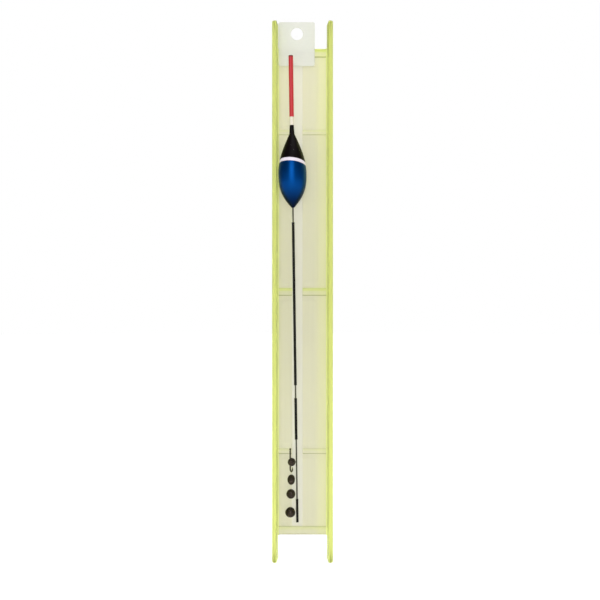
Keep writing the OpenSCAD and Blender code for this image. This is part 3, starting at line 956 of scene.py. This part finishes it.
def wire_metal(name, base, roughness):
    """Drawn wire with lengthwise polish, small stains and a thin film of lacquer."""
    look = Finish(name)
    stain = look.noise(0.7 * MM, 5.0)
    drawn = look.noise(0.08 * MM, 2.0, (1, 1, 12))
    return look.shader(Base_Color=look.shade(base, 0.75 + stain * 0.5), Metallic=0.85,
                       Roughness=roughness + stain * 0.2, Coat_Weight=0.3,
                       Normal=look.relief(drawn, 0.01 * MM))


class RIG_OT_eye(bpy.types.Operator):
    """Wire eye on the back of the body"""

    bl_idname = "rig.eye"
    bl_label = "Line eye"

    def execute(self, context):
        rods = context.scene.rig_rods
        body = context.scene.rig_body
        axis = FloatAxis(body, rods)
        surface = float(body_radius(body, np.array(rods.eye_height)))
        ring = (rods.eye - rods.eye_wire) / 2
        middle = surface + rods.eye / 2 + rods.eye_gap
        root = surface - rods.eye_shank
        shank_end = middle - ring - 0.25 * MM
        path = joined(line((0, root), (0, shank_end), 20),
                      line((0, shank_end), (0, middle - ring), 3),
                      arc((0, middle), ring, -90, 262, 60))
        ends = np.minimum(np.arange(len(path)), np.arange(len(path))[::-1])
        thick = rods.eye_wire / 2 * np.sqrt(np.clip(ends / 2, 0, 1))

        def lay(local):
            """The sweep's plane lies level across the float's axis."""
            return axis.place(np.stack([local[..., 0], local[..., 2],
                                        rods.eye_height + local[..., 1]], axis=-1))

        points = planar_sweep(path, thick, thick, 14, lay)
        piece("line_eye", [patch(points, close_columns=True)], "float", ["line_eye"],
              wire_metal("eye wire", (0.5, 0.47, 0.36), 0.25))
        return {"FINISHED"}


def antenna_plastic(rods):
    """Fluorescent extruded tube: darker towards its top end, with die lines along its length and
    small rub marks."""
    look = Finish("antenna plastic")
    lines = look.noise(0.25 * MM, 2.0, (1, 1, 60))
    rubs = look.noise(1.4 * MM, 5.0)
    # Darker towards the top end of the tube
    cut = look.step(look.value("ends"), 0.2 * MM, 1.0 * MM)
    base = look.shade(rods.red, (0.25 + cut * 0.75) * (0.9 + lines * 0.12 + rubs * 0.08))
    return look.shader(Base_Color=base, Roughness=0.3 + rubs * 0.25, Subsurface_Weight=0.15,
                       Subsurface_Radius=(1.5, 0.4, 0.3), Subsurface_Scale=0.0004,
                       Coat_Weight=0.15, Normal=look.relief(lines * 0.6 + rubs * 0.4, 0.012 * MM))


def collar_plastic(rods):
    """White painted collar, thinly yellowed and chipped at its edges."""
    look = Finish("collar plastic")
    age = look.noise(0.9 * MM, 4.0)
    chips = 1 - look.step(look.cells(0.8 * MM), 0.12, 0.2)
    base = look.shade(rods.ivory, 0.92 + age * 0.12 - chips * 0.25)
    return look.shader(Base_Color=base, Roughness=0.4 + age * 0.2, Normal=look.relief(age, 0.02 * MM))


def fibre(name, base, brightness):
    """Pultruded glass fibre: fine strands along its length, resin patches and dull spots."""
    look = Finish(name)
    strands = look.noise(0.07 * MM, 3.0, (1, 1, 70))
    resin = look.noise(2.6 * MM, 3.0, (1, 1, 4))
    tone = look.shade(base, brightness + strands * 0.5 + resin * 0.25)
    return look.shader(Base_Color=tone, Roughness=0.34 + strands * 0.3, Coat_Weight=0.2,
                       Normal=look.relief(strands, 0.015 * MM))


def sleeve_rubber(rods):
    """Soft black tube with die lines, a dusty bloom and small nicks."""
    look = Finish("sleeve rubber")
    lines = look.noise(0.15 * MM, 2.0, (1, 1, 45))
    bloom = look.noise(1.8 * MM, 5.0)
    base = look.shade(rods.rubber, 0.75 + lines * 0.4 + bloom * 0.5)
    return look.shader(Base_Color=base, Roughness=0.38 + bloom * 0.25, Specular_IOR_Level=0.2,
                       Normal=look.relief(lines * 0.5 + bloom * 0.5, 0.018 * MM))


def tube_profile(bottom, top, outer, bore, edge, spacing):
    """Closed section of a tube wall whose four edges are rounded."""
    steps = max(int((top - bottom) / spacing), 4)
    return joined(arc((outer - edge, bottom + edge), edge, -90, 0, 4),
                  line((outer, bottom + edge), (outer, top - edge), steps),
                  arc((outer - edge, top - edge), edge, 0, 90, 4),
                  line((outer - edge, top), (bore + edge, top), 1),
                  arc((bore + edge, top - edge), edge, 90, 180, 4),
                  line((bore, top - edge), (bore, bottom + edge), max(steps // 4, 2)),
                  arc((bore + edge, bottom + edge), edge, 180, 270, 4),
                  line((bore + edge, bottom), (outer - edge, bottom), 1))


class RIG_OT_antenna(bpy.types.Operator):
    """Hollow antenna, the collar under it and the core rod inside them"""

    bl_idname = "rig.antenna"
    bl_label = "Antenna and collar"

    def execute(self, context):
        rods = context.scene.rig_rods
        axis = FloatAxis(context.scene.rig_body, rods)
        edge = rods.edge
        outer, bore = rods.antenna / 2, rods.bore / 2
        seat = rods.core / 2 + rods.clearance
        low, high = axis.collar_top, axis.antenna_top
        shoulder = axis.core_top + 0.1 * MM
        profile = joined(
            arc((outer - edge, low + edge), edge, -90, 0, 4),
            line((outer, low + edge), (outer, high - edge), 70),
            arc((outer - edge, high - edge), edge, 0, 90, 5),
            arc((bore + edge, high - edge), edge, 90, 180, 5),
            line((bore, high - edge), (bore, shoulder), 24),
            line((bore, shoulder), (seat, axis.core_top), 2),
            line((seat, axis.core_top), (seat, low), 12),
            line((seat, low), (outer - edge, low), 2))
        sides = 40
        ends = high - profile[:, 1:2] + 0 * np.arange(sides)
        points = turned(profile, sides, axis.place)
        piece("antenna", [patch(points, True, True, ends=ends)], "float", ["antenna"],
              antenna_plastic(rods), 40)
        collar = tube_profile(axis.neck_top, axis.collar_top, rods.collar / 2, seat, edge,
                              0.25 * MM)
        piece("antenna_collar", [patch(turned(collar, sides, axis.place), True, True)], "float",
              ["antenna_collar"], collar_plastic(rods), 40)
        finish_node("core_rod", fibre("core fibre", (0.55, 0.58, 0.42), 0.7))
        return {"FINISHED"}


class RIG_OT_stem(bpy.types.Operator):
    """Stem and the three sleeves that grip the line against it"""

    bl_idname = "rig.stem"
    bl_label = "Stem and sleeves"

    def execute(self, context):
        rods = context.scene.rig_rods
        body = context.scene.rig_body
        axis = FloatAxis(body, rods)
        radius, edge = rods.stem / 2, 0.08 * MM
        low, high = -rods.stem_length, body.stem_socket
        profile = joined([[0, low]],
                         arc((radius - edge, low + edge), edge, -90, 0, 3),
                         line((radius, low + edge), (radius, high - edge), 160),
                         arc((radius - edge, high - edge), edge, 0, 90, 3),
                         [[radius - edge, high], [0, high]])
        depth, wave = 0.012 * MM, 3.1 * MM
        waver = depth * np.sin(profile[:, 1] / wave) * (profile[:, 0] >= radius)
        profile[:, 0] += np.minimum(waver, 0)
        piece("stem", [patch(turned(profile, 28, axis.place), close_columns=True)], "float",
              ["stem"], fibre("stem fibre", rods.fibre, 0.6), 50)
        rubber = sleeve_rubber(rods)
        bore = rods.stem / 2 + rods.clearance
        for name, diameter in (("upper_sleeve", rods.sleeve), ("middle_sleeve", rods.sleeve),
                               ("tip_sleeve", rods.tip_sleeve)):
            # The box of a leaning sleeve is longer than the sleeve by a share of its width
            bottom, top = axis.height(name)
            bottom, top = bottom + diameter / 40, top - diameter / 40
            profile = tube_profile(bottom, top, diameter / 2, bore, 0.07 * MM, 0.6 * MM)
            end = np.minimum(profile[:, 1] - bottom, top - profile[:, 1])
            waist, flare, run_in, wave = 0.02 * MM, 0.3 * MM, 1.2 * MM, 1.7 * MM
            squeeze = waist * smooth((end - flare) / run_in)
            wall = profile[:, 0] > (bore + diameter / 2) / 2
            profile[:, 0] -= wall * squeeze * (1 + 0.4 * np.sin(profile[:, 1] / wave))
            piece(name, [patch(turned(profile, 32, axis.place), True, True)], name, [name],
                  rubber, 50)
        return {"FINISHED"}


# ---------------------------------------------------------------- shots and hook


def shot_lead(sizes):
    """Dark oxidised lead: grainy, pitted and rubbed brighter on its high spots."""
    look = Finish("shot lead")
    grain = look.noise(0.22 * MM, 6.0)
    pits = look.step(look.cells(0.5 * MM), 0.12, 0.4)
    worn = look.step(look.noise(0.8 * MM, 4.0), 0.5, 0.66)
    base = look.shade(sizes.lead, 0.2 + grain * 0.5 + pits * 0.2 + worn * 0.9)
    return look.shader(Base_Color=base, Metallic=0.9, Roughness=0.3 + grain * 0.25 - worn * 0.08,
                       Specular_IOR_Level=0.4,
                       Normal=look.relief(grain * 0.5 + pits * 0.5, 0.09 * MM))


def shot_patch(sizes, node, lean, turn, seed):
    """Squeezed shot: an ellipsoid whose radius loses soft dents, depth * exp(-(angle / width)^2)
    round scattered directions, and a V-shaped slit along one side."""
    low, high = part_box(node)
    centre = np.array(low + high) / 2
    tall = (high.z - low.z) / 2
    wide = (high.y - low.y) / 2
    slit_at = math.radians(turn)
    closest, farthest, growth = 0.012, 0.075, 0.16
    round_about = slit_at + spaced(0, TAU, [0, TAU], closest, farthest, growth)[:-1]
    up = np.linspace(-math.pi / 2, math.pi / 2, 61)[:, None]
    away = np.stack([np.cos(up) * np.cos(round_about), np.cos(up) * np.sin(round_about),
                     np.sin(up) + 0 * round_about], axis=-1)
    radius = 1 / np.sqrt((np.cos(up) / wide) ** 2 + (np.sin(up) / tall) ** 2) + 0 * round_about
    random = np.random.default_rng(seed)
    dents = 9
    spots = random.normal(size=(dents, 3))
    spots /= np.linalg.norm(spots, axis=1)[:, None]
    reach = random.uniform(0.3, 0.75, dents)
    depth = random.uniform(0.25, 1, dents) * sizes.dent
    apart = np.arccos(np.clip(away @ spots.T, -1, 1))
    radius = radius - (depth * np.exp(-((apart / reach) ** 2))).sum(axis=-1)
    off = np.angle(np.exp(1j * (round_about - slit_at)))
    half = sizes.slit / 2
    across = np.abs(np.sin(off)) * np.cos(up) * radius
    ahead = (np.cos(off) > 0) * smooth(1.3 - across / half)
    radius = radius * (1 - sizes.slit_depth * ahead * np.abs(np.cos(up)) ** 0.3)
    local = away * radius[..., None]
    tilted = np.stack([local[..., 0] * math.cos(lean) + local[..., 2] * math.sin(lean),
                       local[..., 1],
                       local[..., 2] * math.cos(lean) - local[..., 0] * math.sin(lean)], axis=-1)
    return patch(centre + tilted, close_columns=True)


class RIG_OT_shots(bpy.types.Operator):
    """Four split shots, pinched to different shapes"""

    bl_idname = "rig.shots"
    bl_label = "Split shots"

    def execute(self, context):
        sizes = context.scene.rig_shots
        lead = shot_lead(sizes)
        high = sum(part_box("shot_2"), Vector()) / 2
        low = sum(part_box("shot_4"), Vector()) / 2
        lean = math.atan2(high.x - low.x, high.z - low.z)
        for n, turn in enumerate((200, 90, 150, 230), 1):
            name = f"shot_{n}"
            piece(name, [shot_patch(sizes, name, lean, turn, 40 + n)], name, [name],
                  lead, 60)
        return {"FINISHED"}


class RIG_OT_hook(bpy.types.Operator):
    """Spade-end hook with a round bend and a barbed point"""

    bl_idname = "rig.hook"
    bl_label = "Hook"

    def execute(self, context):
        sizes = context.scene.rig_shots
        joint = next(j for j in frame["joints"] if j["child"] == "hook")
        low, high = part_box("hook")
        across, depth = joint["pos_m"][0], joint["pos_m"][1]
        bend = sizes.gape / 2
        wire = sizes.wire / 2
        bottom = low.z + wire + bend
        tip = low.z + sizes.point
        spade_end = high.z - 1.8 * MM
        path = joined(line((0, high.z), (0, spade_end), 26),
                      line((0, spade_end), (0, bottom), 30),
                      arc((bend, bottom), bend, 180, 360, 30),
                      line((sizes.gape, bottom), (sizes.gape, tip), 24),
                      [[sizes.gape, tip]])
        run = np.concatenate([[0], np.cumsum(np.linalg.norm(np.diff(path, axis=0), axis=1))])
        left = run[-1] - run
        half = sizes.spade / 2
        disc = np.sqrt(np.maximum(half**2 - (run - half) ** 2, 0))
        wide = np.where(run < half, disc, np.maximum(disc, wire))
        flat = sizes.spade_thickness / 2 * np.sqrt(np.clip(run / (0.12 * MM), 0, 1))
        rounded = smooth((run - sizes.spade) / (0.7 * MM))
        thick = flat + (wire - sizes.spade_thickness / 2) * rounded
        point_length, barb_foot, barb_tip = 1.35 * MM, 0.75 * MM, 1.2 * MM
        taper = np.clip(left / point_length, 0, 1) ** 0.75
        rise = np.clip((left - barb_foot) / (barb_tip - barb_foot), 0, 1) * (left < barb_tip)
        barb = rise * sizes.barb

        def bulge(turn):
            """The barb stands out on the inner side of the point."""
            return -barb[:, None] * np.maximum(-np.cos(turn), 0) ** 4

        def lay(local):
            """The hook's plane is turned about its shank."""
            cos, sin = math.cos(sizes.turn), math.sin(sizes.turn)
            return np.stack([across + local[..., 0] * cos + local[..., 1] * sin,
                             depth - local[..., 0] * sin + local[..., 1] * cos,
                             local[..., 2]], axis=-1)

        points = planar_sweep(path, wide * taper, thick * taper, 20, lay, bulge)
        piece("hook", [patch(points, close_columns=True)], "hook", ["hook"],
              wire_metal("hook bronze", sizes.bronze, 0.3), 50)
        return {"FINISHED"}


# ---------------------------------------------------------------- stage


def area_light(name, place, target, size, power):
    """A soft light at a place, turned towards a target."""
    lamp = bpy.data.lights.new(name, "AREA")
    lamp.shape = "RECTANGLE"
    lamp.size, lamp.size_y = size
    lamp.energy = power
    made = bpy.data.objects.new(name, lamp)
    made.location = place
    made.rotation_euler = (Vector(target) - Vector(place)).to_track_quat("-Z", "Y").to_euler()
    bpy.context.scene.collection.objects.link(made)


def room(grey, shine, through):
    """White room behind the pieces. Matt and glossy surfaces see it darker, so that the soft
    lights shape them, and it shines through the clear plastic."""
    world = bpy.data.worlds.new("room")
    world.use_nodes = True
    nodes, links = world.node_tree.nodes, world.node_tree.links
    path = nodes.new("ShaderNodeLightPath")
    strength = None
    for kind, level in (("Is Diffuse Ray", grey), ("Is Glossy Ray", shine),
                        ("Is Transmission Ray", through)):
        mix = nodes.new("ShaderNodeMix")
        mix.inputs[2].default_value = 1.0
        mix.inputs[3].default_value = level
        links.new(path.outputs[kind], mix.inputs[0])
        if strength:
            links.new(strength, mix.inputs[2])
        strength = mix.outputs[0]
    links.new(strength, nodes["Background"].inputs["Strength"])
    nodes["Background"].inputs["Color"].default_value = (1, 1, 1, 1)
    bpy.context.scene.world = world


class RIG_OT_stage(bpy.types.Operator):
    """Pale floor, soft lights, white room and the camera"""

    bl_idname = "rig.stage"
    bl_label = "Stage"

    def execute(self, context):
        sizes = context.scene.rig_stage
        scene = context.scene
        low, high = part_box("winder")
        centre = (low + high) / 2
        level = low.z - sizes.drop
        turn = TAU * np.arange(96) / 96
        reach = sizes.floor_radius * np.array([0, 0.3, 0.7, 1])[:, None]
        disc = np.stack([centre.x + reach * np.cos(turn), reach * np.sin(turn),
                         level + 0 * reach * turn], axis=-1)
        mesh = bpy.data.meshes.new("floor")
        points, quads, _ = patch(disc, close_columns=True)
        mesh.from_pydata(points, [], quads[:, ::-1])
        floor = bpy.data.objects.new("floor", mesh)
        scene.collection.objects.link(floor)
        look = Finish("floor")
        cloud = look.noise(60 * MM, 2.0)
        mesh.materials.append(look.shader(Base_Color=look.shade(sizes.floor, 0.99 + cloud * 0.02),
                                          Roughness=0.9, Specular_IOR_Level=0.1,
                                          Emission_Color=(1, 1, 1), Emission_Strength=sizes.glow))
        camera = bpy.data.cameras.new("camera")
        camera.sensor_width = 36
        camera.lens = sizes.lens
        camera.clip_start = 0.01
        viewer = bpy.data.objects.new("camera", camera)
        viewer.location = (sizes.side, low.y - sizes.distance, sizes.height)
        viewer.rotation_euler = (math.pi / 2, 0, 0)
        scene.collection.objects.link(viewer)
        scene.camera = viewer
        area_light("front light", (-0.1, -0.9, 0.15), centre, (0.5, 0.6), 2.6)
        area_light("top light", (0.15, -0.25, 0.75), centre, (0.7, 0.7), 2.8)
        area_light("back light", (0.95, 0.6, 0.35), centre, (0.9, 0.7), 2.5)
        room(sizes.grey, sizes.shine, sizes.through)
        scene.view_settings.view_transform = "Standard"
        return {"FINISHED"}


# ---------------------------------------------------------------- add-on


GROUPS = {"rig_winder": WinderSizes, "rig_tab": TabSizes, "rig_body": BodySizes,
          "rig_rods": RodSizes, "rig_shots": ShotSizes, "rig_stage": StageSizes}
OPERATORS = (RIG_OT_winder, RIG_OT_tab, RIG_OT_body, RIG_OT_eye, RIG_OT_antenna, RIG_OT_stem,
             RIG_OT_shots, RIG_OT_hook, RIG_OT_stage)


class RIG_PT_panel(bpy.types.Panel):
    """Sizes, colours and building steps of the float rig"""

    bl_idname = "RIG_PT_panel"
    bl_label = "Float rig"
    bl_space_type = "VIEW_3D"
    bl_region_type = "UI"
    bl_category = "Float rig"

    def draw(self, context):
        for operator in OPERATORS:
            self.layout.operator(operator.bl_idname)
        for key, group in GROUPS.items():
            box = self.layout.box()
            for name in group.__annotations__:
                box.prop(getattr(context.scene, key), name)


def register():
    for group in GROUPS.values():
        bpy.utils.register_class(group)
    for key, group in GROUPS.items():
        setattr(bpy.types.Scene, key, PointerProperty(type=group))
    for shown in (*OPERATORS, RIG_PT_panel):
        bpy.utils.register_class(shown)


def unregister():
    for shown in (RIG_PT_panel, *reversed(OPERATORS)):
        bpy.utils.unregister_class(shown)
    for key in GROUPS:
        delattr(bpy.types.Scene, key)
    for group in reversed(GROUPS.values()):
        bpy.utils.unregister_class(group)


def main():
    """Registers the add-on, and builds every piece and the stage."""
    register()
    for step in ("winder", "tab", "body", "eye", "antenna", "stem", "shots", "hook", "stage"):
        getattr(bpy.ops.rig, step)()


if __name__ == "__main__":
    main()
